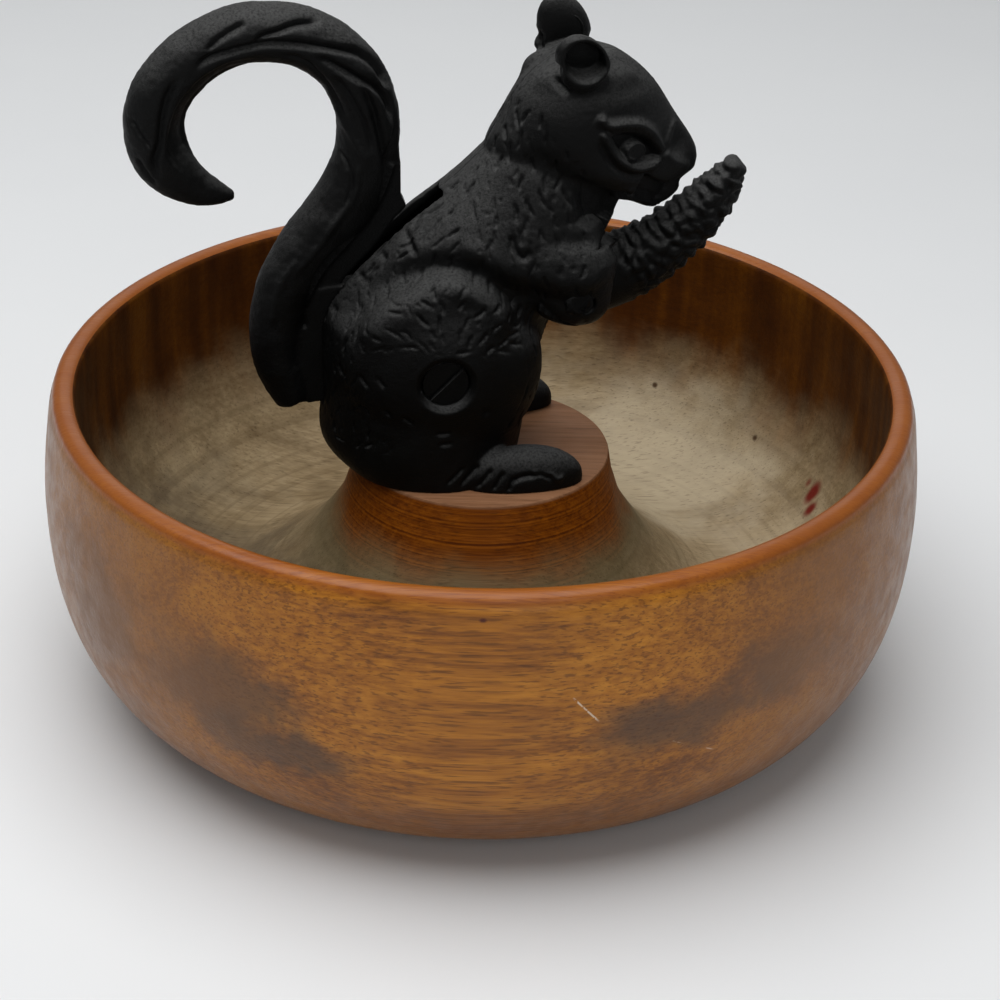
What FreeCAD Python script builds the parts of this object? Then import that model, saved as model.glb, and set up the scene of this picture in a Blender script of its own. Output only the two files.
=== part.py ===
"""Lever nutcracker press: a cast-iron squirrel bolted to the central pedestal of a turned wooden bowl.

Millimetres, +Z up. The origin is on the bowl's axis at the face it stands on. The squirrel faces
+X, and its split plane is y = 0. Heights named "_h" are measured up from the pedestal's top.
"""
import FreeCAD, Part
import math
import os

from FreeCAD import Vector

os.makedirs("parts", exist_ok=True)

# Bowl
bowl_height = 93.0
rim_radius = 120.0            # at the lip
belly_radius = 123.2          # the widest place, part way down
foot_radius = 80.0            # the flat ring the bowl stands on
rim_thickness = 6.3
wall_thickness = 9.5
floor_height = 24.0           # lowest place of the trough
trough_radius = 74.0          # where the trough is lowest
pedestal_radius = 36.0
pedestal_drop = 21.8          # pedestal top below the rim
pedestal_band = 8.0           # straight band under the pedestal's top edge
pedestal_edge = 1.0           # rounding of that edge
pedestal_flare = 1.2          # how much wider the band is at its foot

# Curves of the bowl's sides: (step in or out from a named radius, share of the height there)
outer_curve = [(-23.328, 0.065), (-9.5, 0.215), (-2.2, 0.42), (0.0, 0.68)]
outer_under_rim = (1.4, 0.915)
inner_curve = [(0.0, 0.62), (-3.2, 0.36), (-16.0, 0.11)]
flare_curve = [(19.5, 0.26), (6.2, 0.68)]

# Squirrel castings
casting_wall = 4.0
web_thickness = 7.0
web_gap = 0.6                 # each side of the web, in the castings' slot
jaw_gap = 0.6                 # each side of the forearms, between the sleeves
jaw_half_width = 7.6
closed_gap = 0.4              # web above the slot's lower end, at rest
open_angle = 25.0             # lever travel, degrees
slot_spare_angle = 2.6        # slot beyond the travel, degrees

# Hinge, fasteners and their places on the squirrel
pivot_x = 23.0
pivot_h = 52.8
pin_radius = 3.0
pin_running_clearance = 0.05
pin_half_length = 21.0
lever_hub_radius = 9.5
hub_clearance = 2.5           # round the hub, in the sleeves' opening
sleeve_drop = 6.0             # how far that opening reaches below the hub's clearance
sleeve_rise = 0.6             # and above it
sleeve_reach = 40.0           # and forwards, past the chest

screw_x = -15.0
screw_h = 33.8
screw_radius = 3.0
screw_head_radius = 6.2
screw_head_height = 4.0
screw_head_y = 26.6           # outer face of the head, below the haunch's surface
screw_slot_width = 1.4
screw_slot_depth = 1.6
screw_slot_angle = 45.0
counterbore_clearance = 0.5
nut_across_flats = 10.0
nut_thickness = 5.0
nut_outer_y = 25.0
screw_boss_radius = 6.4
screw_seat_radius = 9.0
screw_seat_y = 10.0           # where the screw's boss widens towards its seat

dowel_x = 22.0
dowel_h = 95.0
dowel_radius = 2.5
dowel_half_length = 8.0
dowel_boss_radius = 5.5

bolt_x = -8.0
bolt_y = 13.0
bolt_radius = 3.0
bolt_clearance = 0.4          # radial, in the wood
bolt_grip = 12.0              # thread length in the casting
bolt_head_radius = 5.5
bolt_head_height = 4.0
bolt_slot_width = 1.6
bolt_slot_depth = 1.8
bolt_boss_radius = 7.0
counterbore_radius = 9.5
counterbore_depth = 28.0
washer_radius = 8.5
washer_thickness = 1.5

seat_z = bowl_height - pedestal_drop

# Casting outlines by height: (height, rear x, front x, half width)
torso_rows = [
    (0.0, -36.5, 9.0, 27.0),
    (18.0, -46.0, 12.0, 27.5),
    (36.0, -46.8, 16.0, 26.0),
    (50.0, -44.0, 22.0, 24.0),
    (62.0, -34.0, 29.5, 22.0),
    (72.0, -23.5, 35.0, 19.5),
    (80.0, -13.5, 37.0, 17.0),
    (87.0, -5.5, 35.0, 15.0),
    (94.0, 2.0, 30.0, 12.0),
]
head_rows = [
    (73.2, 41.0, 52.0, 4.5),
    (77.0, 31.0, 55.5, 9.0),
    (83.0, 8.0, 57.0, 13.5),
    (90.0, -1.0, 56.5, 16.0),
    (98.0, 1.5, 51.5, 16.8),
    (106.0, 6.0, 46.5, 15.5),
    (113.0, 11.5, 40.5, 12.5),
    (118.0, 19.0, 33.5, 7.5),
]
muzzle_taper = 0.42           # how much narrower the head's front is than its rear

haunch_centre = (screw_x + 1.0, 12.6, screw_h - 0.8)
haunch_half = (28.0, 16.6, 29.5)
foot_centre = (7.5, 23.4, 2.0)
foot_half = (17.0, 6.6, 9.5)
arm_centre = (pivot_x - 6.0, 13.6, pivot_h + 5.2)
arm_half = (18.0, 9.0, 11.5)
arm_tilt = 42.0               # down from level, degrees
ear_centre = (22.3, 13.2, 119.5)
ear_half = (7.4, 4.2, 8.8)
ear_cup_half = (5.6, 4.0, 6.0)
ear_cup_out = 3.6

# Tail lobe, along its middle line from the curl's tip to its lower end:
# (x, height, half thickness in the plane of the curl, half width)
tail_rows = [
    (-68.5, 80.2, 1.4, 1.4),
    (-76.5, 82.2, 4.6, 4.2),
    (-84.5, 87.5, 7.0, 6.2),
    (-89.3, 97.5, 8.2, 7.4),
    (-87.0, 110.5, 8.2, 8.0),
    (-76.0, 121.5, 8.1, 8.0),
    (-59.5, 126.0, 8.0, 8.0),
    (-44.0, 120.8, 8.2, 8.0),
    (-34.5, 108.5, 8.4, 8.0),
    (-32.8, 95.0, 8.6, 8.0),
    (-36.5, 82.0, 8.8, 8.0),
    (-45.5, 69.0, 8.4, 7.8),
    (-54.0, 56.0, 8.0, 7.4),
    (-58.3, 42.0, 7.2, 7.0),
    (-57.3, 28.0, 6.4, 6.4),
    (-54.0, 18.0, 4.6, 5.0),
]

# Forearms, as above, from the hub to the paws' tips, with places counted from the hinge
jaw_rows = [
    (0.0, -1.3, 10.6, jaw_half_width - 0.4),
    (10.0, -0.5, 11.2, jaw_half_width),
    (19.5, 3.2, 10.1, jaw_half_width),
    (29.0, 9.6, 8.6, jaw_half_width - 0.4),
    (37.8, 17.4, 6.8, jaw_half_width - 1.2),
    (43.2, 24.1, 4.6, jaw_half_width - 2.8),
    (46.6, 29.8, 1.8, 2.0),
]

# The web's upper and lower edges, from the tail to the hub: (x, height)
web_top = [(-52.0, 52.0), (-33.0, 54.2), (-16.0, 61.0), (pivot_x - 15.0, pivot_h + 10.2)]
web_bottom = [
    (pivot_x - 17.0, pivot_h - 10.3),
    (screw_x + 1.0, screw_h + 9.0),
    (screw_x - 10.0, screw_h + 5.2),
    (screw_x - 16.0, screw_h - 3.8),
    (-44.5, 18.6),
    (-54.0, 18.2),
]


def at(x, y, height):
    return Vector(x, y, seat_z + height)


def closed_curve(points):
    """A smooth closed wire through the points."""
    curve = Part.BSplineCurve()
    curve.interpolate(points, PeriodicFlag=True)
    return Part.Wire([curve.toShape()])


def level_oval(height, rear, front, half_width, taper=0.0):
    """A level egg-shaped section, narrower at its front by the taper."""
    middle = (rear + front) / 2
    half_length = (front - rear) / 2
    points = []
    for step in range(16):
        turn = 2 * math.pi * step / 16
        along = math.cos(turn)
        width = half_width * math.sin(turn) * (1 - taper * along * (1 + along) / 2)
        points.append(at(middle + half_length * along, width, height))
    return closed_curve(points)


def upright_oval(x, height, direction, half_thickness, half_width):
    """An oval section square to a direction in the split plane."""
    across = Vector(-direction[1], 0, direction[0])
    points = []
    for step in range(12):
        turn = 2 * math.pi * step / 12
        offset = across * (half_thickness * math.cos(turn))
        points.append(at(x, half_width * math.sin(turn), height) + offset)
    return closed_curve(points)


def loft_levels(rows, taper=0.0, inset=0.0):
    """A solid through level ovals, drawn in all round by the inset."""
    sections = []
    for height, rear, front, half_width in rows:
        sections.append(level_oval(height, rear + inset, front - inset, half_width - inset, taper))
    return Part.makeLoft(sections, True, False, False, 3)


def loft_along(rows):
    """A solid through ovals that stand square to their middle line."""
    sections = []
    for index, (x, height, half_thickness, half_width) in enumerate(rows):
        before = rows[max(index - 1, 0)]
        after = rows[min(index + 1, len(rows) - 1)]
        run = math.hypot(after[0] - before[0], after[1] - before[1])
        direction = ((after[0] - before[0]) / run, (after[1] - before[1]) / run)
        sections.append(upright_oval(x, height, direction, half_thickness, half_width))
    return Part.makeLoft(sections, True, False, False, 3)


def ellipsoid(centre, half, side, tilt=0.0, inset=0.0):
    """An ellipsoid on one side of the split plane, its nose tilted down by an angle."""
    ball = Part.makeSphere(1.0)
    stretch = FreeCAD.Matrix()
    stretch.scale(half[0] - inset, half[1] - inset, half[2] - inset)
    ball = ball.transformGeometry(stretch)
    ball.rotate(Vector(0, 0, 0), Vector(0, 1, 0), tilt)
    ball.translate(at(centre[0], side * centre[1], centre[2]))
    return ball


def bar(x, height, radius, y_from, y_to):
    """A round bar square to the split plane."""
    return Part.makeCylinder(radius, y_to - y_from, at(x, y_from, height), Vector(0, 1, 0))


def plate(points, half_thickness):
    """A flat plate on the split plane with straight edges between the points."""
    corners = [at(x, -half_thickness, height) for x, height in points]
    face = Part.Face(Part.makePolygon(corners + corners[:1]))
    return face.extrude(Vector(0, 2 * half_thickness, 0))


def half_space(side):
    """A block that holds everything on one side of the split plane."""
    reach = 2 * belly_radius
    low_y = 0 if side > 0 else -reach
    return Part.makeBox(2 * reach, reach, 2 * reach, Vector(-reach, low_y, seat_z))


def nut_bowl():
    """The turned bowl with its pedestal left standing in the middle."""
    outside = Part.BSplineCurve()
    outside.interpolate([
        Vector(foot_radius, 0, 0),
        *[Vector(belly_radius + step, 0, share * bowl_height) for step, share in outer_curve],
        Vector(rim_radius + outer_under_rim[0], 0, outer_under_rim[1] * bowl_height),
        Vector(rim_radius, 0, bowl_height - rim_thickness / 3),
    ])
    lip = Part.Arc(
        Vector(rim_radius, 0, bowl_height - rim_thickness / 3),
        Vector(rim_radius - rim_thickness / 2, 0, bowl_height),
        Vector(rim_radius - rim_thickness, 0, bowl_height - rim_thickness / 3),
    )
    inner = belly_radius - wall_thickness
    band_z = seat_z - pedestal_band
    rise = bowl_height - floor_height
    drop = band_z - floor_height
    inside = Part.BSplineCurve()
    inside.interpolate([
        Vector(rim_radius - rim_thickness, 0, bowl_height - rim_thickness / 3),
        *[Vector(inner + step, 0, floor_height + share * rise) for step, share in inner_curve],
        Vector(trough_radius, 0, floor_height),
        *[Vector(pedestal_radius + step, 0, floor_height + share * drop) for step, share in flare_curve],
        Vector(pedestal_radius + pedestal_flare, 0, band_z),
    ])
    edge = pedestal_edge
    band = Part.LineSegment(
        Vector(pedestal_radius + pedestal_flare, 0, band_z), Vector(pedestal_radius, 0, seat_z - edge))
    edge_arc = Part.Arc(
        Vector(pedestal_radius, 0, seat_z - edge),
        Vector(pedestal_radius - 0.3 * edge, 0, seat_z - 0.3 * edge),
        Vector(pedestal_radius - edge, 0, seat_z),
    )
    top = Part.LineSegment(Vector(pedestal_radius - edge, 0, seat_z), Vector(0, 0, seat_z))
    axis = Part.LineSegment(Vector(0, 0, seat_z), Vector(0, 0, 0))
    base = Part.LineSegment(Vector(0, 0, 0), Vector(foot_radius, 0, 0))
    outline = [outside, lip, inside, band, edge_arc, top, axis, base]
    profile = Part.Wire([line.toShape() for line in outline])
    bowl = Part.Face(profile).revolve(Vector(0, 0, 0), Vector(0, 0, 1), 360)
    for side in (-1, 1):
        foot = Vector(bolt_x, side * bolt_y, 0)
        hole = Part.makeCylinder(bolt_radius + bolt_clearance, bowl_height, foot)
        counterbore = Part.makeCylinder(counterbore_radius, counterbore_depth, foot)
        bowl = bowl.cut(hole.fuse(counterbore))
    return bowl


def squirrel_skin(inset=0.0):
    """Torso, head, haunches and upper arms as one solid, or the hollow inside them."""
    skin = loft_levels(torso_rows, 0.0, inset)
    skin = skin.fuse(loft_levels(head_rows, muzzle_taper, inset))
    for side in (-1, 1):
        skin = skin.fuse(ellipsoid(haunch_centre, haunch_half, side, 0.0, inset))
        if not inset:
            skin = skin.fuse(ellipsoid(arm_centre, arm_half, side, arm_tilt))
    return skin


def ear(side):
    """A rounded ear, hollowed on its outer face."""
    shell = ellipsoid(ear_centre, ear_half, side)
    cup_centre = (ear_centre[0] + 0.8, ear_centre[1] + ear_cup_out, ear_centre[2] + 0.4)
    return shell.cut(ellipsoid(cup_centre, ear_cup_half, side))


def polar(radius, angle):
    """A point at an angle up from the hinge's rear side."""
    turn = math.radians(angle)
    return (pivot_x - radius * math.cos(turn), pivot_h + radius * math.sin(turn))


def lever_space():
    """What the castings leave open for the web and the forearms over their travel."""
    slot_top = polar(2 * belly_radius, open_angle + slot_spare_angle)
    low_edge = [(x, height - closed_gap) for x, height in web_bottom]
    last_x, last_height = low_edge[-1]
    slot = plate(
        [(pivot_x, pivot_h + lever_hub_radius), (pivot_x, low_edge[0][1])] + low_edge
        + [(last_x - belly_radius, last_height), slot_top],
        web_thickness / 2 + web_gap,
    )
    clear = lever_hub_radius + hub_clearance
    rear_x, front_x = pivot_x - clear, pivot_x + sleeve_reach
    low, high = pivot_h - clear - sleeve_drop, pivot_h + clear + sleeve_rise
    front = plate(
        [(rear_x, low), (front_x, low), (front_x, high), (rear_x, high)], jaw_half_width + jaw_gap)
    return slot.fuse(front)


def body_half(side, skin, shell):
    """One hollow casting; side is -1 for the squirrel's right and +1 for its left."""
    reach = max(haunch_centre[1] + haunch_half[1], pin_half_length)
    low, high = (0, reach) if side > 0 else (-reach, 0)
    bosses = bar(screw_x, screw_h, screw_boss_radius, low, high)
    seat_low, seat_high = (screw_seat_y, reach) if side > 0 else (-reach, -screw_seat_y)
    bosses = bosses.fuse(bar(screw_x, screw_h, screw_seat_radius, seat_low, seat_high))
    bosses = bosses.fuse(bar(pivot_x, pivot_h, lever_hub_radius, low, high))
    bosses = bosses.fuse(bar(dowel_x, dowel_h, dowel_boss_radius, low, high))
    bolt_foot = at(bolt_x, side * bolt_y, 0)
    bosses = bosses.fuse(Part.makeCylinder(bolt_boss_radius, bolt_grip + casting_wall, bolt_foot))
    casting = shell.fuse(bosses.common(skin))
    casting = casting.fuse(ellipsoid(foot_centre, foot_half, side)).fuse(ear(side))
    casting = casting.common(half_space(side)).cut(lever_space())
    casting = casting.cut(bar(pivot_x, pivot_h, pin_radius, -pin_half_length, pin_half_length))
    casting = casting.cut(bar(dowel_x, dowel_h, dowel_radius, -dowel_half_length, dowel_half_length))
    casting = casting.cut(bar(screw_x, screw_h, screw_radius, -reach, reach))
    pocket_radius = screw_head_radius + counterbore_clearance
    if side < 0:
        pocket = bar(screw_x, screw_h, pocket_radius, -2 * reach, -screw_head_y + screw_head_height)
    else:
        pocket = bar(screw_x, screw_h, pocket_radius, nut_outer_y - nut_thickness, 2 * reach)
    casting = casting.cut(pocket)
    return casting.cut(Part.makeCylinder(bolt_radius, bolt_grip, bolt_foot))


def tail_lever():
    """The single cast lever: curled tail, web through the body, hub and forearms."""
    lobe = loft_along(tail_rows)
    forearms = loft_along([(pivot_x + row[0], pivot_h + row[1], row[2], row[3]) for row in jaw_rows])
    hub_end = [(pivot_x, pivot_h + lever_hub_radius / 2), (pivot_x, pivot_h - lever_hub_radius / 2)]
    web = plate(web_top + hub_end + web_bottom, web_thickness / 2)
    hub = bar(pivot_x, pivot_h, lever_hub_radius, -jaw_half_width, jaw_half_width)
    lever = lobe.fuse(web).fuse(forearms).fuse(hub)
    bore_radius = pin_radius + pin_running_clearance
    return lever.cut(bar(pivot_x, pivot_h, bore_radius, -pin_half_length, pin_half_length))


def pivot_pin():
    return bar(pivot_x, pivot_h, pin_radius, -pin_half_length, pin_half_length)


def slot_block(length, width, depth):
    """A bar centred on the origin for cutting a screwdriver slot."""
    return Part.makeBox(length, depth, width, Vector(-length / 2, 0, -width / 2))


def body_screw():
    """Slotted machine screw from the right half through to the nut in the left half."""
    head = bar(screw_x, screw_h, screw_head_radius, -screw_head_y, -screw_head_y + screw_head_height)
    shank = bar(screw_x, screw_h, screw_radius, -screw_head_y, nut_outer_y)
    slot = slot_block(2 * screw_head_radius + 2, screw_slot_width, screw_slot_depth)
    slot.rotate(Vector(0, 0, 0), Vector(0, 1, 0), -screw_slot_angle)
    slot.translate(at(screw_x, -screw_head_y, screw_h))
    return head.fuse(shank).cut(slot)


def body_nut():
    """Hexagon nut in the left half's recess."""
    corner = nut_across_flats / 2 / math.cos(math.pi / 6)
    corners = []
    for step in range(6):
        turn = math.pi * step / 3
        x = screw_x + corner * math.cos(turn)
        height = screw_h + corner * math.sin(turn)
        corners.append(at(x, nut_outer_y - nut_thickness, height))
    face = Part.Face(Part.makePolygon(corners + corners[:1]))
    nut = face.extrude(Vector(0, nut_thickness, 0))
    return nut.cut(bar(screw_x, screw_h, screw_radius, 0, 2 * nut_outer_y))


def head_dowel():
    return bar(dowel_x, dowel_h, dowel_radius, -dowel_half_length, dowel_half_length)


def mounting_bolt(side):
    """Slotted bolt up through the pedestal into one casting."""
    head_z = counterbore_depth - washer_thickness - bolt_head_height
    foot = Vector(bolt_x, side * bolt_y, head_z)
    head = Part.makeCylinder(bolt_head_radius, bolt_head_height, foot)
    shank = Part.makeCylinder(bolt_radius, seat_z + bolt_grip - head_z, foot)
    slot = Part.makeBox(2 * bolt_head_radius + 2, bolt_slot_width, bolt_slot_depth)
    slot.translate(foot - Vector(bolt_head_radius + 1, bolt_slot_width / 2, 0))
    return head.fuse(shank).cut(slot)


def mounting_washer(side):
    """Flat washer between the bolt's head and the wood."""
    foot = Vector(bolt_x, side * bolt_y, counterbore_depth - washer_thickness)
    disc = Part.makeCylinder(washer_radius, washer_thickness, foot)
    return disc.cut(Part.makeCylinder(bolt_radius, washer_thickness, foot))


outer_skin = squirrel_skin()
hollow_shell = outer_skin.cut(squirrel_skin(casting_wall))

nodes = {
    "nut_bowl": nut_bowl(),
    "right_body_half": body_half(-1, outer_skin, hollow_shell),
    "left_body_half": body_half(1, outer_skin, hollow_shell),
    "tail_lever": tail_lever(),
    "pivot_pin": pivot_pin(),
    "body_screw": body_screw(),
    "body_nut": body_nut(),
    "head_dowel": head_dowel(),
    "mounting_bolt_right": mounting_bolt(-1),
    "mounting_bolt_left": mounting_bolt(1),
    "mounting_washer_right": mounting_washer(-1),
    "mounting_washer_left": mounting_washer(1),
}

for name, shape in nodes.items():
    box = shape.BoundBox
    print(name, "valid" if shape.isValid() else "INVALID", len(shape.Solids), "solid(s)",
          round(shape.Volume / 1000, 2), "cm3", round(box.XMin, 1), round(box.XMax, 1),
          round(box.YMin, 1), round(box.YMax, 1), round(box.ZMin, 1), round(box.ZMax, 1))
    shape.exportStep(f"parts/{name}.step")
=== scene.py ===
import math

import bpy
import numpy as np
from mathutils import Matrix, Vector, noise
from mathutils.kdtree import KDTree


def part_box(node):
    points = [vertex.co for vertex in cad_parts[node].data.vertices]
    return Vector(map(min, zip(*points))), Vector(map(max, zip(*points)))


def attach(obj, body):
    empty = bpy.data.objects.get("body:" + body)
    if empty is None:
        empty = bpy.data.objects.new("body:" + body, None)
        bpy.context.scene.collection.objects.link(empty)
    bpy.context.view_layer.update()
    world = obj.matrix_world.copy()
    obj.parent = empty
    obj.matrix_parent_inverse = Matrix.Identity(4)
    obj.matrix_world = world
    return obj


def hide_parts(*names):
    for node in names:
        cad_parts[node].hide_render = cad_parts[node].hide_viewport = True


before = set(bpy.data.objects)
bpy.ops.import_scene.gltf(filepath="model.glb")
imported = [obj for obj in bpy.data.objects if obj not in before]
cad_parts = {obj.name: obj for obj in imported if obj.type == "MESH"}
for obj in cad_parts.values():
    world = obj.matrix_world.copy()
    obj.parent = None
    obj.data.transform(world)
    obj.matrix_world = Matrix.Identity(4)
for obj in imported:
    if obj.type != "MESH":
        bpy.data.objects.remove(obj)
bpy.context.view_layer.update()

# Looks of the squirrel nutcracker on its turned bowl. Blender works in metres; the carving below is
# given in millimetres in the part's own frame: x forward, z up, and y outwards from the split plane.
MM = 0.001

# Places shared with the CAD part, read from its nodes
bowl_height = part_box("nut_bowl")[1].z / MM
belly_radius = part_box("nut_bowl")[1].x / MM
seat_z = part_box("right_body_half")[0].z / MM
pin_low, pin_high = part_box("pivot_pin")
hinge_x = (pin_low.x + pin_high.x) / 2 / MM
hinge_z = (pin_low.z + pin_high.z) / 2 / MM
pin_radius = (pin_high.z - pin_low.z) / 2 / MM
nut_low, nut_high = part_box("body_nut")
screw_x = (nut_low.x + nut_high.x) / 2 / MM
screw_z = (nut_low.z + nut_high.z) / 2 / MM

# Camera, found from the circles of the bowl, in millimetres and radians
view_turn = math.radians(10.0)       # how far the squirrel is turned from square to the view
camera_place = (0.18, -748.4, 471.7)
camera_pitch = 0.5097
camera_yaw = 0.0071
camera_roll = 0.0265
camera_lens = 107.6
lamp_aim = (0, 0, 0.08)

# Bowl, in radius and height
rim_radius = 120.0
rim_thickness = 6.3
foot_radius = 80.0
trough_z = 24.0
trough_radius = 74.0
pedestal_radius = 36.0
pedestal_straight = 8.0
wall_thickness = 9.5
bowl_segments = 240
bolt_x = -8.0
bolt_y = 13.0
counterbore_radius = 9.5
counterbore_depth = 28.0
bolt_hole_radius = 3.4

# Up to which radius the worn inside reaches: (height, radius)
inside_limit = [(20, 0), (24, 106), (50, 115.5), (90, 114.2)]

# Castings
casting_grain = 0.5                  # side of the little squares that the castings are carved in
lever_grain = 0.55
recess_radius = 6.7
recess_lip = 1.9                     # width of the chamfer round the screw's recess
jaw_slot_half_width = 8.2
ear_base_z = 186.0                   # above this height there are only the ears
head_floor_z = 138.0                 # the head's carving stays above this height
pin_clearance = 0.35                 # kept free round the pin in the carved lever

# How far some forms are moved from the plain casting
jaw_set_in = 3.2
chin_set_back = 2.4
far_ear_root = 2.5
ear_cup_floor = 10.2
heel_reach = 3.2
recess_lip_depth = 1.3


def set_mode(mode):
    bpy.ops.object.mode_set(mode=mode)


def link(thing):
    bpy.context.scene.collection.objects.link(thing)


def deselect():
    bpy.ops.object.select_all(action="DESELECT")


def take(piece):
    """Selects this piece alone and makes it active."""
    deselect()
    piece.select_set(True)
    bpy.context.view_layer.objects.active = piece


def apply_modifier(piece, kind, **settings):
    take(piece)
    modifier = piece.modifiers.new(kind.lower(), kind)
    for key, value in settings.items():
        setattr(modifier, key, value)
    bpy.ops.object.modifier_apply(modifier=modifier.name)


def curve_through(points, steps=8):
    """A smooth line through the points, as a denser list."""
    points = np.asarray(points, float)
    padded = np.vstack([2 * points[0] - points[1], points, 2 * points[-1] - points[-2]])
    dense = []
    for index in range(1, len(padded) - 2):
        before, start, end, after = padded[index - 1:index + 3]
        for step in range(steps):
            t = step / steps
            dense.append(0.5 * (
                2 * start + (end - before) * t
                + (2 * before - 5 * start + 4 * end - after) * t ** 2
                + (3 * start - before - 3 * end + after) * t ** 3))
    dense.append(points[-1])
    return np.array(dense)


def fade(values, start, end):
    """0 up to the start, 1 from the end on, and a smooth rise between them."""
    t = np.clip((values - start) / (end - start), 0, 1)
    return t * t * (3 - 2 * t)


def lengths(vectors):
    return np.linalg.norm(vectors, axis=1)


def route_distance(places, route):
    """Distance of each place to a line of points, and where along the line it is, 0 to 1."""
    best = np.full(len(places), np.inf)
    along = np.zeros(len(places))
    runs = lengths(np.diff(route, axis=0))
    passed = 0.0
    for start, end, run in zip(route[:-1], route[1:], runs):
        step = end - start
        share = np.clip((places - start) @ step / run ** 2, 0, 1)
        gap = lengths(places - start - share[:, None] * step)
        nearer = gap < best
        best[nearer] = gap[nearer]
        along[nearer] = (passed + share[nearer] * run) / runs.sum()
        passed += run
    return best, along


def inside_outline(places, outline):
    """Which places lie inside a closed outline."""
    inside = np.zeros(len(places), bool)
    for (x0, z0), (x1, z1) in zip(outline, np.roll(outline, -1, axis=0)):
        crosses = (z0 > places[:, 1]) != (z1 > places[:, 1])
        reach = x0 + (places[:, 1] - z0) * (x1 - x0) / (z1 - z0 if z1 != z0 else 1.0)
        inside ^= crosses & (places[:, 0] < reach)
    return inside


def lumps(points, size, seed):
    """Soft noise between -1 and 1 whose lumps are about this size."""
    shift = Vector((seed * 13.1, seed * 7.7, seed * 3.3))
    return np.array([noise.noise(Vector(point) / size + shift) for point in points])


class Carving:
    """A fine copy of a cast node whose points are moved as in sculpting."""

    def __init__(self, node, name, grain, side, added=None):
        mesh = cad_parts[node].data.copy()
        mesh.materials.clear()
        self.piece = bpy.data.objects.new(name, mesh)
        link(self.piece)
        self.side = side
        take(self.piece)
        if added:
            added.select_set(True)
            bpy.ops.object.join()
        set_mode("EDIT")
        bpy.ops.mesh.select_all(action="SELECT")
        bpy.ops.mesh.remove_doubles(threshold=1e-6)
        set_mode("OBJECT")
        apply_modifier(self.piece, "REMESH", mode="VOXEL", voxel_size=grain * MM, use_smooth_shade=True)
        self.read()

    def read(self):
        mesh = self.piece.data
        count = len(mesh.vertices)
        flat = np.empty(count * 3)
        mesh.vertices.foreach_get("co", flat)
        self.points = flat.reshape(-1, 3) / MM
        edges = np.empty(len(mesh.edges) * 2, int)
        mesh.edges.foreach_get("vertices", edges)
        self.edges = edges.reshape(-1, 2)
        self.read_normals()

    def read_normals(self):
        flat = np.empty(len(self.points) * 3)
        self.piece.data.vertex_normals.foreach_get("vector", flat)
        self.normals = flat.reshape(-1, 3)

    def write(self):
        self.piece.data.vertices.foreach_set("co", (self.points * MM).ravel())
        self.piece.data.update()
        self.read_normals()

    def out(self):
        """How far each point is from the split plane."""
        return np.abs(self.points[:, 1])

    def flank(self):
        """The points as seen square from the side: x and z."""
        return self.points[:, [0, 2]]

    def smooth(self, weight, rounds):
        first, second = self.edges.T
        count = len(self.points)
        links = np.bincount(first, minlength=count) + np.bincount(second, minlength=count)
        for _ in range(rounds):
            for axis in range(3):
                values = self.points[:, axis]
                total = np.bincount(first, values[second], count) + np.bincount(second, values[first], count)
                values += weight * 0.5 * (total / links - values)
        self.write()

    def push(self, amounts):
        """Moves each point out along its normal."""
        self.points += self.normals * amounts[:, None]
        self.write()

    def line(self, route, width, height, where, taper=0.15):
        """A ridge, or a groove where the height is negative, along a route drawn on the flank."""
        gap, along = route_distance(self.flank(), curve_through(route))
        ends = fade(along, 0, taper) * fade(1 - along, 0, taper) if taper else 1.0
        return height * np.exp(-(gap / width) ** 2) * ends * where

    def mound(self, centre, half, height, where):
        """A soft swelling, or a hollow, round a place on the flank."""
        x = (self.points[:, 0] - centre[0]) / half[0]
        z = (self.points[:, 2] - centre[1]) / half[1]
        return height * np.exp(-(x * x + z * z)) * where

    def thin_out(self, chosen, share):
        """Keeps about this share of the chosen points, where they are never seen."""
        group = self.piece.vertex_groups.new(name="hidden")
        group.add(np.flatnonzero(chosen).tolist(), 1.0, "REPLACE")
        ratio = 1 - (1 - share) * chosen.mean()
        apply_modifier(self.piece, "DECIMATE", ratio=ratio, vertex_group="hidden", vertex_group_factor=1.0)
        self.piece.vertex_groups.clear()
        self.read()


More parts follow.
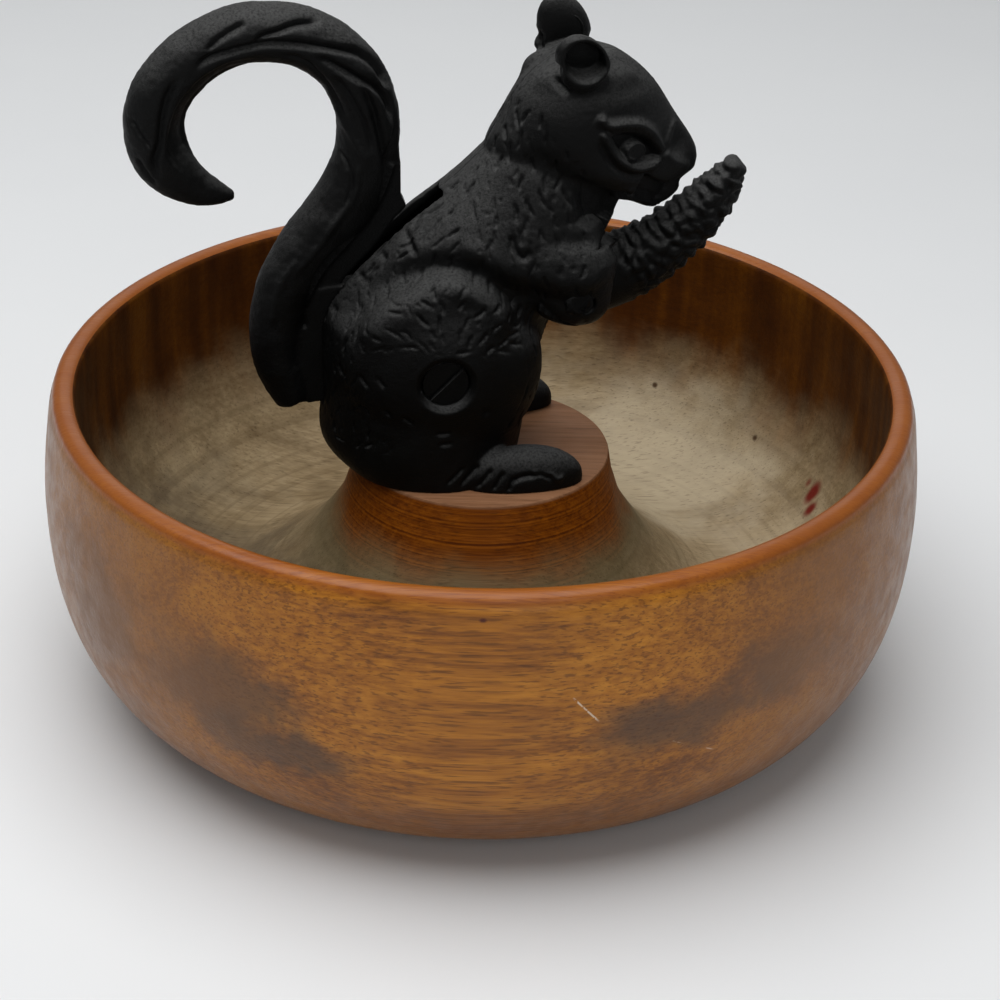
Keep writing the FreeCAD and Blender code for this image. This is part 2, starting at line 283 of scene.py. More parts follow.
def strokes(carving, where, flow, count, spacing, length, width, depth, seed):
    """Short tool strokes over the chosen points, each following the flow of the fur."""
    rng = np.random.default_rng(seed)
    chosen = np.flatnonzero(where > 0.5)
    tree = KDTree(len(chosen))
    for index in chosen:
        tree.insert(carving.points[index], index)
    tree.balance()
    low, high = carving.points[chosen].min(0), carving.points[chosen].max(0)
    starts = np.empty((0, 3))
    change = np.zeros(len(carving.points))
    for _ in range(count):
        place, index, miss = tree.find(rng.uniform(low, high))
        place = np.array(place)
        if miss > 6 or (len(starts) and lengths(starts - place).min() < spacing):
            continue
        starts = np.vstack([starts, place])
        run = rng.uniform(*length)
        bend = rng.normal(0, 0.12)
        lean = rng.normal(0, 0.22)
        route = [place]
        for step in range(4):
            normal = carving.normals[index]
            heading = flow(route[-1])
            heading = heading - normal * (heading @ normal)
            sideways = np.cross(normal, heading)
            heading = heading + sideways * (lean + bend * step)
            heading /= np.linalg.norm(heading) + 1e-9
            place, index, miss = tree.find(route[-1] + heading * run / 4)
            route.append(np.array(place))
        route = np.array(route)
        if lengths(np.diff(route, axis=0)).min() < run / 40:
            continue
        middle = route[2]
        near = np.flatnonzero((np.abs(carving.points - middle) < run).all(axis=1) & (where > 0.05))
        gap, along = route_distance(carving.points[near], route)
        wide = width * rng.uniform(0.75, 1.3)
        deep = depth * rng.uniform(0.5, 1.2)
        shape = np.exp(-(gap / wide) ** 2) * fade(along, -0.1, 0.3) * fade(1 - along, 0, 0.4)
        change[near] = np.minimum(change[near], -deep * shape * where[near])
    return change


# Lines and places on the squirrel's flank: (x, z)
upper_lid = [
    (25.9, 175.8), (27.9, 173.9), (30.2, 173), (33.5, 172.8), (37.2, 171.9),
    (40.1, 170.2), (42.4, 167.9), (44, 165.1), (45.3, 162.2),
]
lower_lid = [
    (26.9, 171.9), (28.4, 169.4), (29.7, 166.8), (31.3, 164.3), (33.4, 162.2),
    (36, 160.4), (39.1, 159.3), (42.2, 159.3), (45.4, 161.2),
]
eye_opening = [
    (30, 170.3), (33, 170.6), (36.4, 170), (39.3, 168.6), (41.7, 166.6), (43.6, 164.1),
    (45, 161.8), (42.6, 160.9), (39.6, 161), (36.4, 161.9), (33.6, 164), (31.4, 167.3),
]
iris_centre = (37.5, 164.6)
iris_half = (3.1, 2.6)
eye_depth = 2.5
iris_rise = 2.6
jaw_overhang = [
    (14, 162), (19.3, 160.7), (22.7, 159), (25.5, 156.4), (28.3, 154.9), (31.3, 153.7),
    (36.2, 152.8), (38.2, 153.4), (39.4, 155.6), (41.3, 157), (44.1, 155.4), (46.4, 153.8),
    (49.3, 152.6), (52.2, 152.2), (54.5, 153.6), (58, 156),
]
muzzle_edge = [(50.7, 169.4), (49, 167.8), (48, 166), (46.8, 163.8)]
muzzle_fold = [(46.3, 162.6), (48, 160.3), (51.5, 157.4), (54.6, 155.6)]
ear_centre = (22.6, 191.2)
ear_hole_radius = 5.4
ear_rim_radius = 6.5
ear_lean = 2.3
ear_lift = {-1: -2.4, 1: 1.3}        # the ear on the right is lower than the one on the left
behind_ear = [(15.4, 191), (15, 187.6), (16.2, 183.8), (19.2, 181.6)]
throat_valley = [(6, 166), (14, 161), (22, 154.5), (29, 148), (34, 143)]
haunch_crest = [
    (-42.1, 114), (-37.5, 119.4), (-31.9, 125.8), (-24.3, 130.3), (-17.7, 132.8),
    (-11.2, 133.4), (-5.5, 132.2), (-0.6, 128.4), (3.6, 122.6), (6.8, 116),
]
shoulder_edge = [
    (-8.8, 142.2), (-6.3, 136.6), (-2.5, 133.6), (3.4, 131.6), (9.4, 130.3), (16.1, 128.9),
    (22.2, 127.8), (28, 127.5),
]
# How far the front of the shoulder stands forward: (height, reach)
shoulder_reach = [(124, 0), (128, 1.4), (134, 5.2), (138.5, 6.2), (143, 3.4), (146, 0)]
shoulder_notch = [(3.2, 144.8), (4.3, 140.7), (6.6, 138.3), (8.5, 140.8)]
toe_crease = [(2.4, 74.2), (5.2, 76), (9.3, 76.6), (13.2, 76), (15.4, 74.4)]
toe_line = [(8.5, 77.8), (11, 76.4), (14, 76.2), (16.4, 74.6), (18.6, 75.6)]
foot_grooves = [
    ((-14.8, 73.6), (-8.8, 79.2)), ((-10.7, 72.8), (-4.8, 79.6)), ((-6.6, 72), (-1.6, 78.8)),
    ((-2.1, 71.8), (1.4, 78.2)), ((2, 71.4), (4.4, 76.6)),
]
haunch_marks = [
    ((-38.2, 106.8), (-35.4, 102.6)), ((-33.8, 107.4), (-31.4, 103.6)), ((-32, 97.6), (-29.6, 94.8)),
    ((-27.4, 95.6), (-23.4, 93)), ((-18.2, 90.4), (-15.4, 90), (-12.8, 90.6)),
    ((-17.2, 87), (-14.8, 86.7), (-12.4, 87)), ((-43, 106.6), (-41.4, 102.6)), ((-37, 97), (-35.2, 93.8)),
]
rump_grooves = [
    ((-36.7, 141), (-37.4, 133), (-34.6, 127.4)), ((-42.6, 134.5), (-44.6, 126.8), (-43, 118)),
    ((-30, 147), (-31.6, 140), (-29.4, 133.6)), ((-22, 151), (-24, 143.6), (-21.6, 136.4)),
]


def body_axis(heights):
    """The x of the middle of the body at each height."""
    return np.interp(heights, [71, 120, 145, 160, 200], [-14, -12, 2, 18, 23])


def facing_out(carving):
    """How squarely each point's normal turns away from the middle of the body, -1 to 1."""
    heights = carving.points[:, 2]
    reach = carving.points - np.column_stack([body_axis(heights), 0 * heights, heights])
    reach /= lengths(reach)[:, None] + 1e-9
    return (carving.normals * reach).sum(axis=1)


def screw_distance(points):
    """How far each point is from the axis of the body screw."""
    return np.hypot(points[:, 0] - screw_x, points[:, 2] - screw_z)


def skin_of(carving):
    """1 on the outside of the casting, falling to 0 at its seam, slot, recess and base."""
    points = carving.points
    x, _, z = points.T
    out = carving.out()
    facing = carving.normals[:, 1] * carving.side
    outside = facing_out(carving) > 0.12
    outside |= (z > ear_base_z) & (out > 5)
    outside |= (out > 20) & (facing > -0.3)
    outside &= facing > -0.75
    skin = outside * fade(out, 0.5, 1.6) * fade(z, seat_z + 0.3, seat_z + 1.5)
    off_recess = fade(screw_distance(points), recess_radius + 0.3, recess_radius + 1.5)
    skin *= np.where(out > 12, off_recess, 1)
    in_jaw_slot = (x > hinge_x - 13) & (np.abs(z - hinge_z) < 19)
    off_slot = fade(out, jaw_slot_half_width + 0.2, jaw_slot_half_width + 1.4)
    skin *= np.where(in_jaw_slot, off_slot, 1)
    return skin


def hidden_of(carving):
    """The walls of the hollow inside the casting."""
    out = carving.out()
    return (facing_out(carving) < -0.25) & (carving.points[:, 2] < ear_base_z) & (out > 2) & (out < 24)


def shift_route(route, along, up=0.0):
    return [(x + along, z + up) for x, z in route]


def carve_head(carving, skin):
    """Muzzle, overhanging cheek, narrow jaw, and the almond eye with its lids and iris."""
    x, _, z = carving.points.T
    out = carving.out()
    flank = carving.flank()
    head = skin * (z > head_floor_z) * (x > 4) * fade(out, 1.5, 4.5)
    edge_z = np.interp(x, *np.array(jaw_overhang).T)
    facing = fade(np.abs(carving.normals[:, 1]), 0.1, 0.55)
    form = carving.mound((30, 158.5), (8, 4), 0.9, head)
    form += carving.mound((49, 157), (4.5, 3.4), 0.9, head)
    form += carving.mound((36, 178), (9, 3), 0.4, head)
    form += carving.line(muzzle_edge, 0.9, 0.5, head)
    form += carving.mound((51, 163), (3.4, 4), -0.9, head)
    form += carving.line(muzzle_fold, 1.4, 0.8, head)
    form += carving.line(throat_valley, 4.0, -1.2, skin * (out > 4))
    under = fade(edge_z - z, 0.0, 1.8) * fade(x, 20, 27) * facing
    form -= jaw_set_in * under * head
    carving.push(form)
    chin = fade(x, 42, 52) * fade(154.5 - z, 0, 4) * (z > head_floor_z)
    x -= chin_set_back * chin
    carving.write()

    detail = carving.line(upper_lid, 1.3, 1.7, head, 0.06)
    detail += carving.line(lower_lid, 0.95, 1.25, head, 0.06)
    detail += carving.line(shift_route(lower_lid[:-1], -0.5, -2.3), 1.0, -1.0, head)
    detail += carving.line([(25.6, 175.6), (28.4, 174.8)], 0.7, 0.7, head, 0.3)
    outline = curve_through(eye_opening + eye_opening[:1], 6)[:-1]
    inside = inside_outline(flank, outline)
    gap, _ = route_distance(flank, np.vstack([outline, outline[:1]]))
    detail -= eye_depth * fade(gap, -0.2, 0.9) * inside * head
    rho = np.hypot(*((flank - iris_centre) / iris_half).T)
    iris_edge = 0.25 * np.exp(-((rho - 0.85) / 0.12) ** 2)
    detail += (iris_rise * (1 - fade(rho, 0.86, 1.10)) + iris_edge) * head
    detail += carving.mound((37.4, 152), (1.2, 1), 2.2, head)
    detail -= carving.mound((41.2, 157.2), (1.3, 1.3), 0.9, head)
    carving.push(detail)


def shape_ears(carving):
    """Ears leaning back, with a round rim, a deep cup and a root that runs down into the nape."""
    points = carving.points
    x, _, z = points.T
    out = carving.out()
    ear = fade(z, 183, 188) * fade(out, 5.5, 8)
    share = np.clip((z - 190) / 9.5, 0, 1)
    back_wall = 1 - fade(out, 12.5, 15.0)
    x -= ear_lean * ear * share
    z += ear_lift[carving.side] * ear * back_wall * share ** 1.5
    junction = fade(z, 179.5, 182) * fade(188 - z, 0, 3) * fade(out, 4.5, 6.5)
    inner_side = junction * (1 - fade(out, 12.5, 14.5))
    behind = fade(-carving.normals[:, 0], 0.05, 0.6) * (x < 20)
    ahead = fade(carving.normals[:, 0], 0.05, 0.6) * (x > 24)
    x += inner_side * (1.5 * ahead - 1.2 * behind) * np.exp(-((z - 185) / 3.0) ** 2)
    carving.smooth(0.9 * junction, rounds=24)
    if carving.side > 0:
        root = np.exp(-((z - 184.8) / 4.4) ** 2) * (1 - fade(x, 17, 23))
        root *= fade(out, 4.0, 6.5)
        x -= far_ear_root * root
        carving.smooth(0.9 * root, rounds=20)
    rho = np.hypot(x - ear_centre[0] + 1.6 * share, z - ear_centre[1])
    facing = fade(carving.normals[:, 1] * carving.side, 0.0, 0.4)
    hole = (1 - fade(rho, ear_hole_radius - 1.0, ear_hole_radius)) * ear * facing
    ring = np.exp(-((rho - ear_rim_radius) / 0.8) ** 2) * ear * facing
    deepest = ear_cup_floor - 0.12 * rho
    sunk = np.minimum(out, deepest + (out - deepest) * (1 - hole))
    points[:, 1] = carving.side * (sunk + 0.7 * ring)
    carving.write()
    carving.push(carving.line(behind_ear, 0.9, -1.5, fade(out, 8, 11) * (out < 17), 0.2))


def body_flow(place):
    """The way the fur lies at a place: back and down the body, and in towards the haunch's middle."""
    x, _, z = place
    to_screw = np.array([screw_x - x, 0.0, screw_z + 6 - z])
    distance = np.linalg.norm(to_screw)
    on_haunch = 1 - fade(np.array([distance]), 20.0, 27.0)[0]
    down = np.array([0.05, 0.0, -1.0]) if x > -8 else np.array([-0.45, 0.0, -0.9])
    return on_haunch * to_screw / (distance + 1e-9) + (1 - on_haunch) * down


def from_haunch(route, reach):
    """A route moved out from the middle of the haunch."""
    moved = []
    for x, z in route:
        distance = math.hypot(x - screw_x, z - screw_z)
        moved.append((x + reach * (x - screw_x) / distance, z + reach * (z - screw_z) / distance))
    return moved


def carve_body(carving, skin):
    """Haunch, shoulder, heel and the recess's chamfer, then the fur, the foot and smaller marks."""
    points = carving.points
    x, _, z = points.T
    out = carving.out()
    side = skin * fade(out, 4, 9)
    form = carving.line(from_haunch(haunch_crest, -3.4), 4.2, 1.7, side)
    form += carving.line(from_haunch(haunch_crest, 2.6), 3.0, -2.6, side)
    form += carving.line(shift_route(shoulder_edge, 0, -4.0), 3.4, -1.8, side)
    form += carving.line(shift_route(shoulder_edge, 0, 2.6), 3.0, 0.8, side)
    form += carving.mound((9, 119), (8, 7), -1.6, side)
    form += carving.mound((12, 138), (11, 6), 0.8, side)
    carving.push(form)
    reach = np.interp(z, *np.array(shoulder_reach).T)
    x += reach * fade(x, 10, 25) * fade(out, 8.2, 9.4)
    from_screw = screw_distance(points)
    lip = fade(from_screw, recess_radius - 0.5, recess_radius)
    lip *= fade(recess_radius + recess_lip - from_screw, 0, recess_lip)
    points[:, 1] -= carving.side * recess_lip_depth * lip * fade(out, 15, 18)
    heel = fade(88 - z, 0, 14) * fade(-x, 16, 30)
    x -= heel_reach * heel
    carving.write()

    fur = skin * (1 - fade(x - 0.75 * (175 - z), 10, 15) * (z > 141))
    fur = fur * fade(z, 80, 86) * (z < 182)
    foot = (out > 15.5) * (z < 86) * fade(x, -17, -13) * skin
    plain_top = screw_z + 10 + 5 * lumps(points, 8.0, 21)
    on_haunch = 1 - fade(screw_distance(points), 21, 26)
    plain = fade(plain_top - z, -2, 2) * on_haunch * (out > 12)
    fur = fur * (1 - foot) * (1 - 0.9 * plain) * (1 - fade(x, 23, 27))
    change = strokes(
        carving, fur, body_flow, count=2400, spacing=3.7, length=(3.5, 7.0), width=0.36, depth=0.72, seed=11)
    change += strokes(
        carving, fur, body_flow, count=1300, spacing=3.2, length=(1.5, 3.5), width=0.38, depth=0.3, seed=12)
    change += 0.05 * lumps(points, 2.2, 1) * fur
    change += 0.3 * lumps(points, 9.0, 2) * fur
    change += 0.05 * lumps(points, 1.1, 3) * skin
    change += carving.line(shoulder_notch, 0.8, -1.1, side)
    for groove in rump_grooves:
        change += carving.line(groove, 1.0, -0.9, side)
    for groove in foot_grooves:
        change += carving.line(groove, 0.55, -0.9, foot, 0.25)
    change += carving.line(toe_crease, 0.7, -0.9, foot)
    change += carving.line(toe_line, 0.8, 0.6, foot)
    for mark in haunch_marks:
        change += carving.line(mark, 0.6, -0.7, side, 0.3)
    change += carving.mound((-3.7, 95.7), (1.2, 1.2), -0.8, side)
    carving.push(change)


def body_half(node, name, side):
    """One casting of the squirrel, carved over its CAD shape."""
    carving = Carving(node, name, casting_grain, side)
    carving.thin_out(hidden_of(carving), share=0.06)
    skin = skin_of(carving)
    rim = (carving.out() < 0.9) * 0.25 * (carving.normals[:, 1] * side > -0.5)
    carving.smooth(np.maximum(skin, rim), rounds=16)
    shape_ears(carving)
    carve_head(carving, skin)
    carve_body(carving, skin)
    keep_seat(carving)
    return carving.piece


def keep_seat(carving):
    """Nothing reaches below the pedestal's top or over the split plane."""
    carving.points[:, 2] = np.maximum(carving.points[:, 2], seat_z)
    carving.points[:, 1] = carving.side * np.maximum(carving.points[:, 1] * carving.side, 0.03)
    carving.write()


# The tail: its long carved grooves, as lines on the flank (x, z), with width and depth
tail_grooves = [
    ([(-80, 189.5), (-75.2, 193.2), (-69.7, 194.6), (-63.5, 195.9), (-59.6, 196.5),
      (-54.2, 196.3), (-46.4, 195.2), (-41.7, 193.1)], 1, 1.9),
    ([(-51.1, 196.3), (-43.2, 194.6), (-36.8, 192.8), (-32.7, 190), (-29.4, 185.6), (-27.4, 180)], 0.85, 1.5),
    ([(-49, 193), (-44.9, 191.3), (-40.2, 188.4), (-35.4, 185.6), (-30.5, 182.4),
      (-27.6, 177.6), (-26.4, 171)], 1, 1.9),
    ([(-36, 185), (-34.2, 182), (-32.3, 177), (-30.6, 171), (-29, 164), (-28, 156)], 1.1, 1.5),
    ([(-63.8, 195), (-61.9, 198.2), (-57.8, 199.6), (-52, 201.2), (-45, 201)], 0.75, 1.1),
    ([(-76, 194.6), (-73.2, 197.6), (-69.6, 200), (-65, 202.4)], 0.75, 0.9),
    ([(-43.5, 188), (-38.5, 181), (-34.6, 173), (-32, 164)], 0.7, 0.8),
    ([(-47.5, 189), (-43, 182), (-39.4, 174)], 0.6, 0.6),
    ([(-57, 193.6), (-50, 191), (-45.2, 185.4)], 0.6, 0.6),
    ([(-95.6, 177), (-93.8, 173), (-90.6, 168.4)], 0.6, 0.6),
    ([(-94.8, 166), (-92.4, 161.4), (-89.6, 157.6)], 0.6, 0.6),
    ([(-89, 158.2), (-90, 165), (-88.4, 170), (-87.4, 178.4), (-85.2, 185.2), (-81.8, 189.4)], 1, 1.1),
    ([(-41, 166), (-38, 158), (-40, 149)], 0.6, 0.5),
]
tail_inner_edge = [
    (-61, 193.6), (-70, 191.8), (-77, 188.4), (-83.4, 181.6), (-86.6, 173.6), (-87, 166), (-82, 158.4),
]
tail_front_edge = [
    (-26.2, 182), (-26.6, 173.3), (-28.6, 165), (-30.2, 153.9), (-32.2, 145.8), (-35.4, 142),
    (-39.5, 139.5), (-44.4, 135.8), (-46.8, 132.4), (-49.7, 125.9), (-51.6, 113),
]
tail_fin = [
    (-30, 180), (-25.6, 178), (-24.7, 170), (-24.3, 160), (-24.2, 150.5), (-22.6, 147.2),
    (-26, 143.6), (-30, 137.6), (-33.4, 133.4), (-37.4, 129.2), (-40.8, 125), (-44.4, 120),
    (-47, 114), (-53, 115), (-51, 126), (-46, 135), (-37, 143), (-33, 155),
    (-33, 172),
]
tail_fin_middle = (-35, 147)
tail_fin_half = 3.0
forearm_line = [
    (0, -1.3), (10, -0.5), (19.5, 3.2), (29, 9.6), (37.8, 17.4), (43.2, 24.1), (46.6, 29.8),
]
knuckle_pitch = 3.6
knuckle_half = 4.6
knuckle_depth = 5.0
tail_streaks = [
    ((-44.5, 184), (-40, 173), (-33, 161)), ((-36, 163), (-38, 152), (-46, 141)),
    ((-40, 150), (-46, 140), (-55, 129)), ((-52, 136), (-58, 126), (-60, 114)),
]


def flat_fin():
    """The flat part of the tail that lies between its round side and the squirrel's back."""
    deselect()
    middle_x, middle_z = tail_fin_middle
    bpy.ops.mesh.primitive_circle_add(
        vertices=len(tail_fin), radius=20 * MM, fill_type="NGON", rotation=(math.pi / 2, 0, 0),
        location=(middle_x * MM, -tail_fin_half * MM, middle_z * MM))
    fin = bpy.context.object
    bpy.ops.object.transform_apply(location=True, rotation=True, scale=True)
    starts = [vertex.co.copy() for vertex in fin.data.vertices]
    for index, (start, (x, z)) in enumerate(zip(starts, tail_fin)):
        set_mode("EDIT")
        bpy.ops.mesh.select_mode(type="VERT")
        bpy.ops.mesh.select_all(action="DESELECT")
        set_mode("OBJECT")
        fin.data.vertices[index].select = True
        set_mode("EDIT")
        bpy.ops.transform.translate(value=Vector((x, -tail_fin_half, z)) * MM - start)
        set_mode("OBJECT")
    set_mode("EDIT")
    bpy.ops.mesh.select_all(action="SELECT")
    bpy.ops.mesh.extrude_region_move(TRANSFORM_OT_translate={"value": (0, 2 * tail_fin_half * MM, 0)})
    bpy.ops.mesh.select_all(action="SELECT")
    bpy.ops.mesh.normals_make_consistent(inside=False)
    set_mode("OBJECT")
    return fin


def tail_lever():
    """The lever: carved tail with its flat fin, plain web and knobbly forearms."""
    carving = Carving("tail_lever", "squirrel_tail_lever", lever_grain, 1, flat_fin())
    points = carving.points
    x, _, z = points.T
    out = carving.out()
    tail = fade(-x, 25.0, 27.0) * fade(out, 0.0, 0.6)
    web = (out < 4.6) & (x > -50) & (z < 160)
    skin = fade(-x, 20.0, 24.0) * ~web
    arms = fade(x, hinge_x + 9.5, hinge_x + 13)
    carving.smooth(np.maximum(skin, arms), rounds=12)
    flank = carving.flank()
    on_flank = fade(np.abs(carving.normals[:, 1]), 0.05, 0.3) * tail * skin
    change = np.zeros(len(points))
    for route, width, depth in tail_grooves:
        change = np.minimum(change, carving.line(route, width, -1.3 * depth, on_flank, 0.2))
    inner = np.array(tail_inner_edge + [(-62.0, 168.0)])
    gap, along = route_distance(flank, curve_through(tail_inner_edge))
    ends = fade(along, 0, 0.2) * fade(1 - along, 0, 0.2)
    change -= 1.1 * inside_outline(flank, inner) * fade(gap, 0.0, 1.6) * ends * on_flank
    front = curve_through(tail_front_edge)
    gap, _ = route_distance(flank, front)
    ahead = inside_outline(flank, np.vstack([front, [(-30.0, 110.0), (0.0, 110.0), (0.0, 184.0)]]))
    change -= 1.8 * ahead * fade(gap, 0.0, 1.6) * on_flank
    for route in tail_streaks:
        change += carving.line(route, 0.9, 0.5, on_flank)
    change = np.maximum(change, -2.6)
    change += 0.3 * lumps(points, 7.0, 4) * skin
    change += 0.12 * lumps(points, 1.6, 5) * skin
    carving.push(change)
    carve_forearms(carving, arms)
    clear_pin(carving)
    return carving.piece


def clear_pin(carving):
    """Keeps the lever's bore clear of the pin that it turns on."""
    centre = np.array([hinge_x, hinge_z])
    from_pin = carving.flank() - centre
    distance = lengths(from_pin)
    free = np.maximum(distance, pin_radius + pin_clearance)
    carving.points[:, [0, 2]] = centre + from_pin * (free / distance)[:, None]
    carving.write()


def carve_forearms(carving, arms):
    """Knobbly gripping faces: round knuckles in rows across the arms, with grooves between them."""
    points = carving.points
    middle = curve_through([(hinge_x + x, hinge_z + z) for x, z in forearm_line])
    _, along = route_distance(carving.flank(), middle)
    length = lengths(np.diff(middle, axis=0)).sum()
    across = (carving.flank() - middle[len(middle) // 2]) @ np.array([-0.6, 0.8])
    cells = np.column_stack([
        along * length / knuckle_pitch, across / knuckle_half, points[:, 1] / knuckle_depth])
    groove = np.zeros(len(points))
    for index in np.flatnonzero(arms > 0):
        nearest, next_nearest = noise.voronoi(Vector(cells[index]))[0][:2]
        groove[index] = next_nearest - nearest
    upward = fade(carving.normals[:, 2] * 0.8 - carving.normals[:, 0] * 0.6, 0.0, 0.7)
    rows = np.cos(2 * math.pi * (along * length / knuckle_pitch + 0.3 * lumps(points, 6.0, 9)))
    change = 0.75 * (fade(groove, 0.0, 0.5) - 0.6) + 0.3 * rows * (0.6 + 0.6 * upward)
    change += 0.3 * lumps(points, 2.2, 6)
    change += 1.3 * upward * fade(along, 0.45, 0.8) + 0.5 * fade(along, 0.85, 1.0)
    carving.push(change * arms * fade(along * length, 12, 18))


def bowl_profile():
    """The bowl's outline from its foot over the rim to the pedestal, as radius and height."""
    outside = curve_through([
        (foot_radius, 0), (foot_radius + 0.46 * (belly_radius - foot_radius), 0.065 * bowl_height),
        (belly_radius - 9.5, 0.215 * bowl_height), (belly_radius - 2.2, 0.42 * bowl_height),
        (belly_radius, 0.68 * bowl_height), (rim_radius + 1.4, 0.915 * bowl_height),
        (rim_radius, bowl_height - rim_thickness / 3),
    ], 7)
    lip_turns = np.linspace(0, math.pi, 11)[1:-1]
    lip_middle = rim_radius - rim_thickness / 2
    lip = [(lip_middle + rim_thickness / 2 * math.cos(turn),
            bowl_height - rim_thickness / 3 * (1 - math.sin(turn))) for turn in lip_turns]
    inner = belly_radius - wall_thickness
    drop = seat_z - pedestal_straight - trough_z
    inside = curve_through([
        (rim_radius - rim_thickness, bowl_height - rim_thickness / 3),
        (inner, trough_z + 0.62 * (bowl_height - trough_z)),
        (inner - 3.2, trough_z + 0.36 * (bowl_height - trough_z)),
        (inner - 16, trough_z + 0.11 * (bowl_height - trough_z)),
        (trough_radius, trough_z), (pedestal_radius + 19.5, trough_z + 0.26 * drop),
        (pedestal_radius + 6.2, trough_z + 0.68 * drop), (pedestal_radius + 1.2, seat_z - pedestal_straight),
    ], 8)
    edge = [(pedestal_radius, seat_z - 1), (pedestal_radius - 0.3, seat_z - 0.3),
            (pedestal_radius - 1, seat_z)]
    return list(outside) + lip + list(inside) + edge


def turn_bowl():
    """The bowl, drawn up ring by ring from the disc it stands on."""
    profile = bowl_profile()
    start_radius = profile[0][0]
    deselect()
    bpy.ops.mesh.primitive_circle_add(
        vertices=bowl_segments, radius=start_radius * MM, fill_type="NGON", location=(0, 0, 0))
    bowl = bpy.context.object
    bowl.name = "turned_bowl"
    set_mode("EDIT")
    bpy.ops.mesh.select_all(action="SELECT")
    for before, after in zip(profile[:-1], profile[1:]):
        rise = (after[1] - before[1]) * MM
        growth = after[0] / before[0]
        bpy.ops.mesh.extrude_region_move(TRANSFORM_OT_translate={"value": (0, 0, rise)})
        bpy.ops.transform.resize(value=(growth, growth, 1), center_override=(0, 0, 0))
    bpy.ops.mesh.select_all(action="SELECT")
    bpy.ops.mesh.normals_make_consistent(inside=False)
    set_mode("OBJECT")
    for side in (-1, 1):
        bore_bowl(bowl, side, counterbore_radius, counterbore_depth)
        bore_bowl(bowl, side, bolt_hole_radius, seat_z + 20)
    bpy.ops.object.shade_smooth_by_angle(angle=math.radians(35))
    return bowl


def bore_bowl(bowl, side, radius, height):
    """Cuts one round hole up into the bowl from below."""
    deselect()
    bpy.ops.mesh.primitive_cylinder_add(
        vertices=64, radius=radius * MM, depth=2 * height * MM, location=(bolt_x * MM, side * bolt_y * MM, 0))
    drill = bpy.context.object
    apply_modifier(bowl, "BOOLEAN", operation="DIFFERENCE", object=drill, solver="EXACT")
    bpy.data.objects.remove(drill)
    take(bowl)


# Materials

def start_material(name):
    """A new material with its node tree and its main shader."""
    material = bpy.data.materials.new(name)
    material.use_nodes = True
    tree = material.node_tree
    return material, tree, tree.nodes["Principled BSDF"]


def feed(tree, node, inputs):
    """Sets sockets from pairs of a socket and a value, or links it to another node's output."""
    for socket, value in inputs:
        if isinstance(value, bpy.types.NodeSocket):
            tree.links.new(value, node.inputs[socket])
        else:
            node.inputs[socket].default_value = value


def add(tree, kind, inputs=(), **settings):
    """A shader node with its settings and its inputs."""
    node = tree.nodes.new(kind)
    for key, value in settings.items():
        setattr(node, key, value)
    feed(tree, node, inputs)
    return node


def place(tree, scale=(1, 1, 1), turn=0.0, shift=(0, 0, 0)):
    """Object coordinates, turned about the upright axis and stretched."""
    turned = add(tree, "ShaderNodeMapping", [("Vector", object_place(tree)), ("Rotation", (0, 0, turn))])
    stretched = add(tree, "ShaderNodeMapping", [
        ("Vector", turned.outputs[0]), ("Scale", scale), ("Location", shift)])
    return stretched.outputs[0]


def grainy(tree, where, size, detail=3.0, rough=0.55, twist=0.0):
    """Noise whose features are about this size in millimetres, around 0.5."""
    texture = add(tree, "ShaderNodeTexNoise", [
        ("Vector", where), ("Scale", 1 / (size * MM)), ("Detail", detail), ("Roughness", rough),
        ("Distortion", twist)])
    return texture.outputs[0]


def layered(tree, value, scale, detail):
    """Noise that changes with one value alone, for lines left by the lathe."""
    texture = add(tree, "ShaderNodeTexNoise", [
        ("W", product_of(tree, value, scale)), ("Scale", 1.0), ("Detail", detail)], noise_dimensions="1D")
    return texture.outputs[0]


def between(tree, value, low, high, from_value=0.0, to_value=1.0):
    """A smooth rise from one value to another as the input goes from low to high."""
    step = add(tree, "ShaderNodeMapRange", [
        (0, value), (1, low), (2, high), (3, from_value), (4, to_value)], interpolation_type="SMOOTHSTEP")
    return step.outputs[0]


def maths(tree, kind, first, second=0.0):
    return add(tree, "ShaderNodeMath", [(0, first), (1, second)], operation=kind).outputs[0]


def sum_of(tree, first, second):
    return maths(tree, "ADD", first, second)


def product_of(tree, first, second):
    return maths(tree, "MULTIPLY", first, second)


def weighted(tree, first, share, second):
    """This share of the first value, with the rest from the second."""
    return sum_of(tree, product_of(tree, first, share), product_of(tree, second, 1 - share))


def vector_maths(tree, kind, first, second=(0, 0, 0)):
    return add(tree, "ShaderNodeVectorMath", [(0, first), (1, second)], operation=kind)


def blend_colours(tree, share, first, second):
    """From the first colour to the second as the share goes from 0 to 1."""
    ends = [value if isinstance(value, bpy.types.NodeSocket) else (*value, 1) for value in (first, second)]
    node = add(tree, "ShaderNodeMix", data_type="RGBA")
    feed(tree, node, [(0, share), (6, ends[0]), (7, ends[1])])
    return node.outputs[2]


def tint(tree, colour, tone, value, low, high, share):
    """The colour with this share of a tone over it where the value has gone from low to high."""
    return blend_colours(tree, between(tree, value, low, high, 0.0, share), colour, tone)


def colours(tree, value, stops):
    """A colour for each value between 0 and 1."""
    node = add(tree, "ShaderNodeValToRGB", [(0, value)])
    ramp = node.color_ramp
    while len(ramp.elements) < len(stops):
        ramp.elements.new(0.5)
    for element, (position, colour) in zip(ramp.elements, stops):
        element.position = position
        element.color = (*colour, 1)
    return node.outputs[0]


